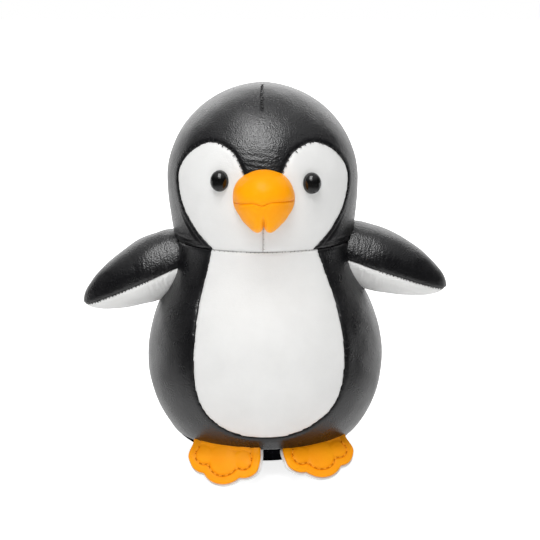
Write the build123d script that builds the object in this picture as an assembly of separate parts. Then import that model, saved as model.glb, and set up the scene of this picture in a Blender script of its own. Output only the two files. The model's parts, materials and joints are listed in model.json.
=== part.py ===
from build123d import *
import math
import os

# A small stuffed penguin, sewn from smooth synthetic leather. It faces -Y, +Z is up,
# and the origin is the centre of the flat disc of its base, which stands on the floor.
# Sizes are in millimetres. "Left" is the toy's own left side, +X.

# Leather and clearances
LEATHER = 0.9             # thickness of the black, white and beak leather
CUT = 120.0               # size of the cutting blocks, larger than the toy

# Head: a half ball on a jaw that narrows gently to the neck
HEAD_RADIUS = 35.0
HEAD_WIDEST_Z = 104.5
JAW_ARC_RADIUS = 75.0
NECK_Z = 83.0
SIDE_SEAM_Y = 2.0         # the front and back panels meet just behind the widest line

# Body: a full belly, a waisted chest and a shallow domed base
BODY_RADIUS = 43.2
BODY_WIDEST_Z = 38.5
HIP_ARC_RADIUS = 40.0
CHEST_ARC_RADIUS = 53.5
CHEST_Z = 63.5            # from here up to the neck the side curves the other way
BASE_FLAT_RADIUS = 13.0
BASE_MIDDLE = (26.0, 5.0)
BASE_SEAM_Z = 12.5

# White face panels: (distance from the centre line, height) from the beak round to the neck
FACE_OUTLINE = [
    (6.8, 110.5),
    (7.9, 113.5),
    (11.2, 118.4),
    (17.5, 120.9),
    (24.0, 117.9),
    (28.7, 112.0),
    (29.7, 105.5),
    (27.8, 96.8),
    (23.4, 89.0),
    (18.0, 83.0),
]
FACE_INNER_Z = 103.0      # the inner edge runs down to the centre seam under the beak

# White belly panel, as (x, z): down the right edge, round the bottom and up the left edge
BELLY_OUTLINE = [
    (-18.3, NECK_Z),
    (-20.4, 74.0),
    (-23.2, 62.0),
    (-24.6, 48.0),
    (-24.2, 36.0),
    (-21.4, 27.5),
    (-15.6, 21.6),
    (-8.6, 18.6),
    (0.0, 17.7),
    (8.8, 18.4),
    (17.0, 21.6),
    (24.2, 27.5),
    (28.0, 36.0),
    (28.9, 48.0),
    (26.5, 62.0),
    (22.5, 74.0),
    (19.2, NECK_Z),
]
PAST_NECK = 1.0           # the cutters of the white panels run this far past the neck seam

# Beak: a small stuffed cap sewn on the face
BEAK_RADIUS = 10.9
BEAK_CENTRE = (0, -33.6, 102.3)
MOUTH_Z = 102.8

# Safety eyes: an oval dome with a stem that is pressed into a washer inside the head
EYE_RADIUS = 3.75
EYE_WIDTH_RATIO = 0.88
EYE_HEIGHT = 3.2
EYE_PLACE = {"left": (16.8, 107.1), "right": (-14.9, 108.0)}    # (x, z)
EYE_STEM_RADIUS = 1.25
EYE_STEM_LENGTH = 7.0
WASHER_RADIUS = 4.0
WASHER_THICKNESS = 1.2
WASHER_DEPTH = 1.3        # below the surface, so the flat washer clears the curved panel

# Flippers, as (radius, distance along); the cone at the root leaves room to swing
FLIPPER_ROOT = 0.9
FLIPPER_ROOT_INSET = 1.5      # how much further along the filling's cone starts, for each inset
FLIPPER_SHOULDER = (8.0, 10.0)
FLIPPER_MIDDLE = (9.6, 17.0)
FLIPPER_TIP_RADIUS = 5.4
FLIPPER_LENGTH = 37.0
FLIPPER_PITCH = 18.0          # degrees that the front edge of its seam hangs down
FLIPPER_HINGE = {"left": (33.2, 78.0), "right": (-33.4, 75.0)}
FLIPPER_DROOP = {"left": 21.5, "right": 26.5}

# Feet: two flat plies, each three round toes, sewn into the base seam
FOOT_PLY = 1.3
FOOT_MIDDLE_TOE = (0.0, 4.6, 8.6)             # (across, reach, radius)
FOOT_SIDE_TOE = (7.4, 3.6, 6.3)
FOOT_ROOT = 1.3
FOOT_ROOT_HALF_WIDTH = 13.2
FOOT_SOLE_MARGIN = 0.25
FOOT_SLOPE = {"left": 44.0, "right": 57.0}    # degrees below level
FOOT_HINGE_RADIUS = 34.2
FOOT_HINGE_Z = 12.35
FOOT_POSITION = {"left": 33.2, "right": -22.7}    # degrees round the base from the front
FOOT_FACING = {"left": 27.0, "right": -22.0}      # degrees that the toes point outwards
STITCH_INSET = 3.0
STITCH_START = 2.8        # distance from the root where the line of stitches starts
STITCH_PITCH = 2.25
STITCH_LENGTH = 1.5
STITCH_RADIUS = 0.25

SIDES = {"left": 1, "right": -1}


def upright_face(curves):
    """A face in the XZ plane inside a closed outline of (x, z) curves."""
    placed = [Plane.XZ * curve for curve in curves]
    return make_face([edge for curve in placed for edge in curve.edges()])


def turned(curves):
    """Turn a closed outline, drawn in the XZ plane, about the Z axis."""
    return revolve(upright_face(curves), Axis.Z, 360)


def block(x_range, y_range, z_range):
    """A cutting block from three (low, high) ranges."""
    size = [high - low for low, high in (x_range, y_range, z_range)]
    middle = [(high + low) / 2 for low, high in (x_range, y_range, z_range)]
    return Pos(*middle) * Box(*size)


FRONT = block((-CUT, CUT), (-CUT, SIDE_SEAM_Y), (-CUT, 2 * CUT))
BACK_HALF = {
    "left": block((0, CUT), (SIDE_SEAM_Y, CUT), (-CUT, 2 * CUT)),
    "right": block((-CUT, 0), (SIDE_SEAM_Y, CUT), (-CUT, 2 * CUT)),
}


def front_cutter(curves):
    """Push a closed outline in the XZ plane forwards through the front of the toy."""
    return extrude(upright_face(curves), CUT, dir=(0, -1, 0))


def point_on_arc(middle, radius, height):
    """The outermost point of a circle at a height, as (x, z)."""
    return (middle[0] + math.sqrt(radius ** 2 - (height - middle[1]) ** 2), height)


def head_solid(inset):
    radius = HEAD_RADIUS - inset
    jaw_radius = JAW_ARC_RADIUS - inset
    jaw_middle = (HEAD_RADIUS - JAW_ARC_RADIUS, HEAD_WIDEST_Z)
    neck = point_on_arc(jaw_middle, jaw_radius, NECK_Z)
    cheek = point_on_arc(jaw_middle, jaw_radius, (NECK_Z + HEAD_WIDEST_Z) / 2)
    jaw = ThreePointArc(neck, cheek, (radius, HEAD_WIDEST_Z))
    crown = CenterArc((0, HEAD_WIDEST_Z), radius, 0, 90)
    inside = Polyline([crown @ 1, (0, NECK_Z), neck])
    return turned([jaw, crown, inside])


def body_solid(inset):
    hip_middle = (BODY_RADIUS - HIP_ARC_RADIUS, BODY_WIDEST_Z)
    chest_middle = (BODY_RADIUS - CHEST_ARC_RADIUS, BODY_WIDEST_Z)
    hip_radius = HIP_ARC_RADIUS - inset
    chest_radius = CHEST_ARC_RADIUS - inset
    seam = point_on_arc(hip_middle, hip_radius, BASE_SEAM_Z)
    hip = point_on_arc(hip_middle, hip_radius, (BASE_SEAM_Z + BODY_WIDEST_Z) / 2)
    widest = (BODY_RADIUS - inset, BODY_WIDEST_Z)
    chest = point_on_arc(chest_middle, chest_radius, (BODY_WIDEST_Z + CHEST_Z) / 2)
    waist = point_on_arc(chest_middle, chest_radius, CHEST_Z)
    neck = point_on_arc((HEAD_RADIUS - JAW_ARC_RADIUS, HEAD_WIDEST_Z), JAW_ARC_RADIUS - inset, NECK_Z)
    flat = (BASE_FLAT_RADIUS, inset)
    dome = (BASE_MIDDLE[0] - inset / 2, BASE_MIDDLE[1] + inset)
    lower_side = ThreePointArc(seam, hip, widest)
    upper_side = ThreePointArc(widest, chest, waist)
    curves = [
        ThreePointArc(flat, dome, seam),
        lower_side,
        upper_side,
        TangentArc(waist, neck, tangent=upper_side % 1),
        Polyline([neck, (0, NECK_Z), (0, inset), flat]),
    ]
    return turned(curves)


def face_cutter(sign):
    """The outline of one white face panel, down the centre seam and past the neck."""
    outline = [(sign * x, z) for x, z in FACE_OUTLINE]
    curve = Spline(outline)
    below = NECK_Z - PAST_NECK
    corners = [(0, FACE_INNER_Z), (0, below), (outline[-1][0], below)]
    inner = Polyline([outline[0], *corners, outline[-1]])
    return front_cutter([curve, inner])


def belly_cutter():
    curve = Spline(BELLY_OUTLINE)
    first, last = BELLY_OUTLINE[0], BELLY_OUTLINE[-1]
    above = NECK_Z + PAST_NECK
    closing = Polyline([last, (last[0], above), (first[0], above), first])
    return front_cutter([curve, closing])


def beak_solid(inset):
    return Pos(*BEAK_CENTRE) * Sphere(BEAK_RADIUS - inset)


def eye_plane(side):
    """The plane that touches the head at one eye, its Z axis pointing outwards."""
    x, z = EYE_PLACE[side]
    up = z - HEAD_WIDEST_Z
    y = -math.sqrt(HEAD_RADIUS ** 2 - x ** 2 - up ** 2)
    return Plane(origin=(x, y, z), x_dir=(-y, x, 0), z_dir=(x, y, up))


def eye(plane):
    arc = EllipticalCenterArc((0, 0), EYE_RADIUS, EYE_HEIGHT, 0, arc_size=90)
    outline = Polyline([arc @ 1, (0, 0), (EYE_RADIUS, 0)])
    dome = scale(turned([arc, outline]), by=(EYE_WIDTH_RATIO, 1, 1))
    return plane * (dome + eye_stem())


def eye_stem():
    return Pos(0, 0, -EYE_STEM_LENGTH / 2) * Cylinder(EYE_STEM_RADIUS, EYE_STEM_LENGTH)


def eye_washer(plane):
    disc = Cylinder(WASHER_RADIUS, WASHER_THICKNESS)
    middle = -WASHER_DEPTH - WASHER_THICKNESS / 2
    return plane * (Pos(0, 0, middle) * disc - eye_stem())


def flipper_solid(inset):
    """One flipper along its own +Z axis, with the hinge at its origin."""
    root = (0, FLIPPER_ROOT + FLIPPER_ROOT_INSET * inset)
    shoulder = (FLIPPER_SHOULDER[0] - inset, FLIPPER_SHOULDER[1])
    middle = (FLIPPER_MIDDLE[0] - inset, FLIPPER_MIDDLE[1])
    tip_middle = (0, FLIPPER_LENGTH - FLIPPER_TIP_RADIUS)
    tip = CenterArc(tip_middle, FLIPPER_TIP_RADIUS - inset, 0, 90)
    curves = [
        Line(root, shoulder),
        ThreePointArc(shoulder, middle, tip @ 0),
        tip,
        Line(tip @ 1, root),
    ]
    return turned(curves)


def flipper_parts(side):
    """The black top panel, the white under panel and the filling of one flipper."""
    outside = flipper_solid(0)
    inside = flipper_solid(LEATHER)
    shell = outside - inside
    above = Pos(CUT / 2, 0, 0) * Box(CUT, CUT, CUT)
    below = Pos(-CUT / 2, 0, 0) * Box(CUT, CUT, CUT)
    sign = SIDES[side]
    droop = math.radians(FLIPPER_DROOP[side])
    direction = (sign * math.cos(droop), 0, -math.sin(droop))
    upwards = (sign * math.sin(droop), 0, math.cos(droop))
    x, z = FLIPPER_HINGE[side]
    place = Plane(origin=(x, 0, z), x_dir=upwards, z_dir=direction).location
    place = place * Rot(0, 0, -sign * FLIPPER_PITCH)
    return {
        "top_panel": place * (shell & above),
        "under_panel": place * (shell & below),
        "stuffing": place * inside,
    }


def foot_outline(margin):
    """Three round toes and a straight root, in the foot's own plane: X across, Y to the toes."""
    middle_across, middle_reach, middle_radius = FOOT_MIDDLE_TOE
    side_across, side_reach, side_radius = FOOT_SIDE_TOE
    toes = Pos(middle_across, middle_reach) * Circle(middle_radius + margin)
    for sign in SIDES.values():
        toes += Pos(sign * side_across, side_reach) * Circle(side_radius + margin)
    palm_height = side_reach - FOOT_ROOT
    palm = Rectangle(2 * (FOOT_ROOT_HALF_WIDTH + margin), palm_height)
    toes += Pos(0, FOOT_ROOT + palm_height / 2) * palm
    behind_root = Pos(0, FOOT_ROOT - CUT / 2) * Rectangle(CUT, CUT)
    return toes - behind_root


def foot_stitches():
    """Short half-round stitches that lie on the top ply, a little inside its edge."""
    seam = foot_outline(-STITCH_INSET).faces()[0].outer_wire()
    count = int(seam.length // STITCH_PITCH)
    bead = Rot(0, 90, 0) * Cylinder(STITCH_RADIUS, STITCH_LENGTH)
    bead = bead & (Pos(0, 0, CUT / 2) * Box(CUT, CUT, CUT))
    stitches = []
    for index in range(count):
        position = seam.position_at(index / count)
        if position.Y < STITCH_START:
            continue
        tangent = seam.tangent_at(index / count)
        turn = math.degrees(math.atan2(tangent.Y, tangent.X))
        stitches.append(Pos(position.X, position.Y, FOOT_PLY) * Rot(0, 0, turn) * bead)
    return stitches


def foot_place(side):
    """The foot's plane: its Y axis runs down to the toes and its Z axis is its upper face."""
    around = math.radians(FOOT_POSITION[side])
    facing = math.radians(FOOT_FACING[side])
    slope = math.radians(FOOT_SLOPE[side])
    origin = (FOOT_HINGE_RADIUS * math.sin(around), -FOOT_HINGE_RADIUS * math.cos(around), FOOT_HINGE_Z)
    upper = (math.sin(facing) * math.sin(slope), -math.cos(facing) * math.sin(slope), math.cos(slope))
    across = (math.cos(facing), math.sin(facing), 0)
    return Plane(origin=origin, x_dir=[-value for value in across], z_dir=upper).location


def foot_parts(side):
    top = extrude(foot_outline(0), FOOT_PLY)
    sole = extrude(foot_outline(FOOT_SOLE_MARGIN), -FOOT_PLY)
    place = foot_place(side)
    return {
        "top": place * top,
        "sole": place * sole,
        "stitching": Compound([place * stitch for stitch in foot_stitches()]),
    }


def head_parts():
    outside = head_solid(0)
    inside = head_solid(LEATHER)
    shell = outside - inside
    front = shell & FRONT
    faces = {side: face_cutter(sign) for side, sign in SIDES.items()}
    planes = {side: eye_plane(side) for side in SIDES}
    stuffing = inside
    parts = {"head_front_panel": front - faces["left"] - faces["right"]}
    for side, plane in planes.items():
        stem = plane * eye_stem()
        washer = eye_washer(plane)
        parts[f"face_panel_{side}"] = (front & faces[side]) - stem
        parts[f"head_back_panel_{side}"] = shell & BACK_HALF[side]
        parts[f"eye_{side}"] = eye(plane)
        parts[f"eye_washer_{side}"] = washer
        stuffing = stuffing - stem - washer
    parts["head_stuffing"] = stuffing
    return parts


def beak_parts():
    head = head_solid(0)
    outside = beak_solid(0) - head
    inside = beak_solid(LEATHER) - head
    shell = outside - inside
    upper = block((-CUT, CUT), (-CUT, CUT), (MOUTH_Z, 2 * CUT))
    return {
        "beak_upper_panel": shell & upper,
        "beak_lower_panel": shell - upper,
        "beak_stuffing": inside,
    }


def body_parts():
    inside = body_solid(LEATHER)
    shell = body_solid(0) - inside
    under_seam = block((-CUT, CUT), (-CUT, CUT), (-CUT, BASE_SEAM_Z))
    wall = shell - under_seam
    front = wall & FRONT
    belly = belly_cutter()
    return {
        "belly_panel": front & belly,
        "body_front_panel": front - belly,
        "body_back_panel_left": wall & BACK_HALF["left"],
        "body_back_panel_right": wall & BACK_HALF["right"],
        "base_panel": shell & under_seam,
        "body_stuffing": inside,
    }


def all_parts():
    parts = {}
    parts.update(head_parts())
    parts.update(beak_parts())
    parts.update(body_parts())
    for side in SIDES:
        for name, shape in flipper_parts(side).items():
            parts[f"flipper_{side}_{name}"] = shape
        for name, shape in foot_parts(side).items():
            parts[f"foot_{side}_{name}"] = shape
    return parts


os.makedirs("parts", exist_ok=True)
for node, shape in all_parts().items():
    export_step(shape, f"parts/{node}.step")
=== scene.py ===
import json
import math
import bmesh
import bpy
import numpy as np
from mathutils import Matrix, Vector, kdtree, noise


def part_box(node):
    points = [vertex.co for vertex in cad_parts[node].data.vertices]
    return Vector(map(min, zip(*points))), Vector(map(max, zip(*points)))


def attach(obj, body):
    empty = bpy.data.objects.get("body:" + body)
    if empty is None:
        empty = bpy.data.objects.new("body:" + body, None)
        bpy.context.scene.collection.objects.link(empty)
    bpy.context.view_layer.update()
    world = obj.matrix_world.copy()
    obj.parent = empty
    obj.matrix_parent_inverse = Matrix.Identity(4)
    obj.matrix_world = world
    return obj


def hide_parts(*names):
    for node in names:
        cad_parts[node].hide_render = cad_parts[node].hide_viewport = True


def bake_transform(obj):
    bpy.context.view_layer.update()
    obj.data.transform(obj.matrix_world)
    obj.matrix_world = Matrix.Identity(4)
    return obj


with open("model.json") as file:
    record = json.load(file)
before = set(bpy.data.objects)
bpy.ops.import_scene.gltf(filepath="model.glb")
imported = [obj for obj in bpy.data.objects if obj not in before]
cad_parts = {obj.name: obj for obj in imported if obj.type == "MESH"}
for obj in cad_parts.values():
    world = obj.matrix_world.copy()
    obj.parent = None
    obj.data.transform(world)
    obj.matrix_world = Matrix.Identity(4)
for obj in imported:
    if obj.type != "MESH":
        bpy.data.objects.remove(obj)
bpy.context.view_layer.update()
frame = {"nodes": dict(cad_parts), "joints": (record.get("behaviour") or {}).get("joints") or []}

# A small stuffed penguin in smooth synthetic leather. Shapes are worked out in millimetres,
# in the frame of the CAD model, and written to the meshes in metres.
MM = 0.001
SIDES = {"left": 1, "right": -1}


def high_corner(node):
    """Highest corner of a CAD node's box, in millimetres."""
    return np.array(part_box(node)[1]) / MM


def joint_place(name):
    """Where the axis of a joint lies, in millimetres."""
    return np.array([j["pos_m"] for j in frame["joints"] if j["name"] == name][0]) / MM


def arc_radius_at(middle_r, middle_z, radius, z):
    """Radius, at a height, of a surface turned from an arc round (middle_r, middle_z)."""
    return middle_r + math.sqrt(max(radius ** 2 - (z - middle_z) ** 2, 0))


# ---- driving sizes
HEAD_RADIUS, SIDE_SEAM_Y, CROWN_Z = high_corner("head_front_panel")
HEAD_MIDDLE_Z = CROWN_Z - HEAD_RADIUS
BODY_RADIUS, _, NECK_Z = high_corner("body_front_panel")
JAW_ARC_RADIUS = 75.0
HIP_ARC_RADIUS = 40.0
CHEST_ARC_RADIUS = 53.5
BODY_WIDEST_Z = 38.5
CHEST_Z = 63.5
BASE_FLAT_RADIUS = 13.0
BASE_CURVE = 1.7
SEAM_SAG = 0.7    # the filling weighs the base seam down this far
SEAM_Z = high_corner("base_panel")[2] - SEAM_SAG


def jaw_radius(z):
    """Radius of the head below its middle."""
    return arc_radius_at(HEAD_RADIUS - JAW_ARC_RADIUS, HEAD_MIDDLE_Z, JAW_ARC_RADIUS, z)


def hip_radius(z):
    """Radius of the body below its widest part."""
    return arc_radius_at(BODY_RADIUS - HIP_ARC_RADIUS, BODY_WIDEST_Z, HIP_ARC_RADIUS, z)


BASE_RADIUS = hip_radius(SEAM_Z)

# (distance from the centre line, height) of the white panels; the filling pushes their outer
# edges out a little beyond the CAD model's
FACE_OUTLINE = [
    (6.8, 110.5), (7.9, 113.5), (11.2, 118.4), (17.9, 121.1), (24.7, 118.2),
    (29.6, 112.2), (30.6, 105.5), (28.6, 96.6), (23.7, 88.8), (17.6, 83.0),
]
FACE_INNER_Z = 103.0
BELLY_OUTLINE = [
    (-18.3, 83.0), (-20.4, 74.0), (-23.2, 62.0), (-24.6, 48.0), (-24.2, 36.0), (-21.4, 27.5),
    (-15.6, 21.6), (-8.6, 18.6), (0.0, 17.7), (8.8, 18.4), (17.0, 21.6), (24.2, 27.5),
    (28.0, 36.0), (28.9, 48.0), (26.5, 62.0), (22.5, 74.0), (19.2, 83.0),
]

# ---- small shape tools


def smooth_line(points, steps=12):
    """Points along a Catmull-Rom curve through the given points."""
    pts = np.array(points, float)
    ends = np.vstack([2 * pts[0] - pts[1], pts, 2 * pts[-1] - pts[-2]])
    out = []
    for i in range(1, len(ends) - 2):
        a, b, c, d = ends[i - 1:i + 3]
        for t in np.arange(steps) / steps:
            out.append(0.5 * (2 * b + (c - a) * t + (2 * a - 5 * b + 4 * c - d) * t * t
                              + (3 * b - a - 3 * c + d) * t ** 3))
    out.append(pts[-1])
    return np.array(out)


def signed_distance(xz, outline):
    """Distance of each (x, z) point to a closed outline, negative inside it."""
    best = np.full(len(xz), np.inf)
    inside = np.zeros(len(xz), bool)
    for p, q in zip(outline, np.roll(outline, -1, axis=0)):
        pq = q - p
        rel = xz - p
        t = np.clip(rel @ pq / max(pq @ pq, 1e-12), 0, 1)
        best = np.minimum(best, np.linalg.norm(rel - t[:, None] * pq, axis=1))
        if p[1] != q[1]:
            crosses = (p[1] > xz[:, 1]) != (q[1] > xz[:, 1])
            at = p[0] + (xz[:, 1] - p[1]) * pq[0] / pq[1]
            inside ^= crosses & (xz[:, 0] < at)
    return np.where(inside, -best, best)


NECK_PLUG = 4.0    # the profiles close on the axis this far past the neck
ARC_STEPS = 24
CROWN_STEPS = 60


def head_profile():
    """(radius, height) from the crown down to the neck and in to the axis."""
    points = [(HEAD_RADIUS * math.sin(a), HEAD_MIDDLE_Z + HEAD_RADIUS * math.cos(a))
              for a in np.linspace(0, math.pi / 2, CROWN_STEPS)]
    points += [(jaw_radius(z), z) for z in np.linspace(HEAD_MIDDLE_Z, NECK_Z, ARC_STEPS)[1:]]
    return np.array(points + [(0.0, NECK_Z - NECK_PLUG)])


def body_profile():
    """(radius, height) from the axis at the neck, down the side and in under the base."""
    neck_r = jaw_radius(NECK_Z)
    chest = BODY_RADIUS - CHEST_ARC_RADIUS
    waist_r = arc_radius_at(chest, BODY_WIDEST_Z, CHEST_ARC_RADIUS, CHEST_Z)
    slope = -(CHEST_Z - BODY_WIDEST_Z) / (waist_r - chest)
    rise = NECK_Z - CHEST_Z
    bend = neck_r - waist_r - slope * rise
    points = [(0.0, NECK_Z + NECK_PLUG), (neck_r, NECK_Z)]
    for t in np.linspace(1, 0, ARC_STEPS)[1:]:
        points.append((waist_r + slope * rise * t + bend * t * t, CHEST_Z + rise * t))
    for z in np.linspace(CHEST_Z, BODY_WIDEST_Z, ARC_STEPS)[1:]:
        points.append((arc_radius_at(chest, BODY_WIDEST_Z, CHEST_ARC_RADIUS, z), z))
    points += [(hip_radius(z), z) for z in np.linspace(BODY_WIDEST_Z, SEAM_Z, ARC_STEPS)[1:]]
    for t in np.linspace(0, 1, ARC_STEPS)[1:]:
        points.append((BASE_RADIUS + (BASE_FLAT_RADIUS - BASE_RADIUS) * t, SEAM_Z * (1 - t) ** BASE_CURVE))
    return np.array(points + [(0.0, 0.0)])


def cube_ball(cuts):
    """Unit directions and quads of an evenly divided cube blown up to a ball."""
    line = np.tan(np.linspace(-1, 1, cuts + 1) * math.pi / 4)
    index, points, quads = {}, [], []

    def vertex(p):
        key = tuple(np.round(p, 5))
        if key not in index:
            index[key] = len(points)
            points.append(p / np.linalg.norm(p))
        return index[key]

    for axis in range(3):
        for sign in (-1, 1):
            grid = np.zeros((cuts + 1, cuts + 1), int)
            for i, u in enumerate(line):
                for j, v in enumerate(line):
                    p = np.zeros(3)
                    p[axis] = sign
                    p[(axis + 1) % 3] = u
                    p[(axis + 2) % 3] = v
                    grid[i, j] = vertex(p)
            for i in range(cuts):
                for j in range(cuts):
                    quad = [grid[i, j], grid[i + 1, j], grid[i + 1, j + 1], grid[i, j + 1]]
                    quads.append(quad if sign > 0 else quad[::-1])
    return np.array(points), quads


def turned_ball(profile, cuts):
    """A closed mesh of revolution with even quads: (points, quads)."""
    directions, quads = cube_ball(cuts)
    steps = np.r_[0, np.cumsum(np.linalg.norm(np.diff(profile, axis=0), axis=1))]
    polar = np.arccos(np.clip(directions[:, 2], -1, 1)) / math.pi * steps[-1]
    radius = np.interp(polar, steps, profile[:, 0])
    height = np.interp(polar, steps, profile[:, 1])
    azimuth = np.arctan2(directions[:, 1], directions[:, 0])
    points = np.c_[radius * np.cos(azimuth), radius * np.sin(azimuth), height]
    return points, quads


def new_bmesh(points, faces):
    bm = bmesh.new()
    verts = [bm.verts.new(p) for p in points]
    for face in faces:
        bm.faces.new([verts[i] for i in face])
    bm.normal_update()
    return bm


def coordinates(bm):
    return np.array([v.co[:] for v in bm.verts])


SNAP = 0.2    # a corner this near a cut, as a share of its edge, moves on to it
ON_LINE = 1e-4


def cut_along(bm, field):
    """Cut the faces of bm along the zero line of field, a function of an array of points."""
    bm.verts.index_update()
    value = field(coordinates(bm))
    value[np.abs(value) < ON_LINE] = 0
    crossing = []
    for edge in bm.edges:
        a, b = edge.verts
        fa, fb = value[a.index], value[b.index]
        if fa * fb < 0:
            crossing.append((edge, a, b, fa / (fa - fb)))
    moved = {}
    for edge, a, b, t in crossing:
        near, share = (a, t) if t < 0.5 else (b, 1 - t)
        if share < SNAP and near.index not in moved:
            far = b if near is a else a
            moved[near.index] = near.co.lerp(far.co, share)
    bm.verts.ensure_lookup_table()
    for index, place in moved.items():
        value[index] = 0
        bm.verts[index].co = place
    on_line = {v for v in bm.verts if value[v.index] == 0}
    for edge, a, b, t in crossing:
        if a in on_line or b in on_line:
            continue
        _, vert = bmesh.utils.edge_split(edge, a, t)
        on_line.add(vert)
    for face in list(bm.faces):
        ring = list(face.verts)
        marks = [i for i, v in enumerate(ring) if v in on_line]
        if len(marks) == 2 and (marks[1] - marks[0]) not in (1, len(ring) - 1):
            bmesh.utils.face_split(face, ring[marks[0]], ring[marks[1]])
    bm.normal_update()


FAR_OUTSIDE = 10.0
PAST_NECK = 6.0    # the patches run on this far past the neck seam before they are cut


def front_field(outline):
    """Signed distance to an outline on the front half of the toy, and far outside behind it."""
    def field(p):
        return np.where(p[:, 1] < 0, signed_distance(p[:, [0, 2]], outline), FAR_OUTSIDE)
    return field


def face_patch_field(sign):
    line = smooth_line([(sign * x, z) for x, z in FACE_OUTLINE])
    low = NECK_Z - PAST_NECK
    return front_field(np.vstack([line, [(line[-1][0], low), (0.0, low), (0.0, FACE_INNER_Z)]]))


def belly_field():
    line = smooth_line(BELLY_OUTLINE)
    top = NECK_Z + PAST_NECK
    return front_field(np.vstack([[(line[0][0], top)], line, [(line[-1][0], top)]]))


def side_field(p):
    return p[:, 1] - SIDE_SEAM_Y


def below_field(height):
    return lambda p: p[:, 2] - height


PANEL = "panel"
SAMPLE_SPACING = 0.15


def assign_panels(bm, choose, names):
    """Give each face the number of its panel; choose maps face middles to a list of names."""
    layer = bm.faces.layers.int.new(PANEL)
    middles = np.array([f.calc_center_median()[:] for f in bm.faces])
    for face, name in zip(bm.faces, choose(middles)):
        face[layer] = names.index(name)
    return layer


def on_seam(edge, layer):
    """Whether two panels meet at an edge, or a panel ends there."""
    faces = edge.link_faces
    return not (len(faces) == 2 and faces[0][layer] == faces[1][layer])


def seam_samples(bm, layer):
    """Points along every seam edge."""
    points = []
    for edge in bm.edges:
        if on_seam(edge, layer):
            a, b = edge.verts[0].co, edge.verts[1].co
            count = max(int((b - a).length / SAMPLE_SPACING), 1)
            points.extend(a.lerp(b, i / count) for i in range(count + 1))
    return points


def tree_of(points):
    tree = kdtree.KDTree(len(points))
    for i, p in enumerate(points):
        tree.insert(p, i)
    tree.balance()
    return tree


def roll(distance, width, depth):
    """The quarter-round drop of leather that turns in at a seam."""
    if distance >= width:
        return 0.0
    t = 1 - distance / width
    return depth * (1 - math.sqrt(1 - t * t))


def bell(value, middle, width):
    return math.exp(-((value - middle) / width) ** 2)


def part_way(value, start, end):
    """How far a value lies from start to end, held between 0 and 1."""
    return min(max((value - start) / (end - start), 0), 1)


def eased(share):
    return share * share * (3 - 2 * share)


def bumps(p, size_and_height):
    """Smooth random height at a point."""
    return noise.noise(p / size_and_height[0]) * size_and_height[1]


def bands(rows, around, turned=False):
    """Quads between neighbouring rings of points, all with the same count around."""
    quads = []
    for i in range(rows - 1):
        for j in range(around):
            a, b = i * around + j, i * around + (j + 1) % around
            c, d = b + around, a + around
            quads.append([a, d, c, b] if turned else [a, b, c, d])
    return quads


# ---- cloth

CLOTH = {"quality": 5, "mass": 0.3, "tension_stiffness": 15, "compression_stiffness": 15,
         "shear_stiffness": 5, "bending_stiffness": 0.4, "use_pressure": True}
CLOTH_FRAMES = 20


def in_scene(name, data):
    obj = bpy.data.objects.new(name, data)
    bpy.context.collection.objects.link(obj)
    return obj


def mesh_object(name, bm):
    """An object with a copy of bm as its mesh."""
    mesh = bpy.data.meshes.new(name)
    bm.to_mesh(mesh)
    return in_scene(name, mesh)


def evaluated(obj):
    """The mesh of an object as its modifiers leave it."""
    return obj.evaluated_get(bpy.context.evaluated_depsgraph_get()).data


def discard(obj):
    """Delete an object and its mesh."""
    mesh = obj.data
    bpy.data.objects.remove(obj)
    bpy.data.meshes.remove(mesh)


def inflate(bm, layer, name, pressure, shrink, most, evenings):
    """Let air pressure swell the panels between their pinned seams, by a short cloth run.

    The swelling is then evened out between neighbours, and levels off towards the value of most.
    """
    obj = mesh_object(name, bm)
    obj.data.transform(Matrix.Scale(MM, 4))
    pins = sorted({v.index for edge in bm.edges if on_seam(edge, layer) for v in edge.verts})
    obj.vertex_groups.new(name="seams").add(pins, 1.0, "REPLACE")
    cloth = obj.modifiers.new("cloth", "CLOTH")
    settings = cloth.settings
    for key, value in CLOTH.items():
        setattr(settings, key, value)
    settings.uniform_pressure_force = pressure
    settings.shrink_min = shrink
    settings.vertex_group_mass = "seams"
    settings.effector_weights.gravity = 0
    cloth.collision_settings.use_collision = False
    cloth.point_cache.frame_start = 1
    cloth.point_cache.frame_end = CLOTH_FRAMES
    for f in range(1, CLOTH_FRAMES + 1):
        bpy.context.scene.frame_set(f)
    step = np.array([v.co[:] for v in evaluated(obj).vertices]) / MM - coordinates(bm)
    edges = np.array([[v.index for v in e.verts] for e in bm.edges])
    count = np.bincount(edges.ravel(), minlength=len(step))[:, None]
    for _ in range(evenings):
        total = np.zeros_like(step)
        np.add.at(total, edges[:, 0], step[edges[:, 1]])
        np.add.at(total, edges[:, 1], step[edges[:, 0]])
        step = total / np.maximum(count, 1)
        step[pins] = 0
    step *= most / (most + np.linalg.norm(step, axis=1, keepdims=True))
    for v, d in zip(bm.verts, step):
        v.co += Vector(d)
    bpy.context.scene.frame_set(1)
    discard(obj)


def subdivide(bm):
    """One level of Catmull-Clark subdivision, keeping the panel numbers."""
    obj = mesh_object("temp", bm)
    sub = obj.modifiers.new("sub", "SUBSURF")
    sub.levels = sub.render_levels = 1
    out = bmesh.new()
    out.from_mesh(evaluated(obj))
    discard(obj)
    bm.free()
    out.normal_update()
    return out, out.faces.layers.int[PANEL]


# ---- pieces

FLANGE = 1.6    # width of the seam allowance turned in at the edge of a panel
# its slope: towards the toy's centre line, and in from the surface
FLANGE_TO_MIDDLE = 0.7
FLANGE_IN = 0.6
CAP_RADIUS = 3.0    # this near the centre line it turns straight down


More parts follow.
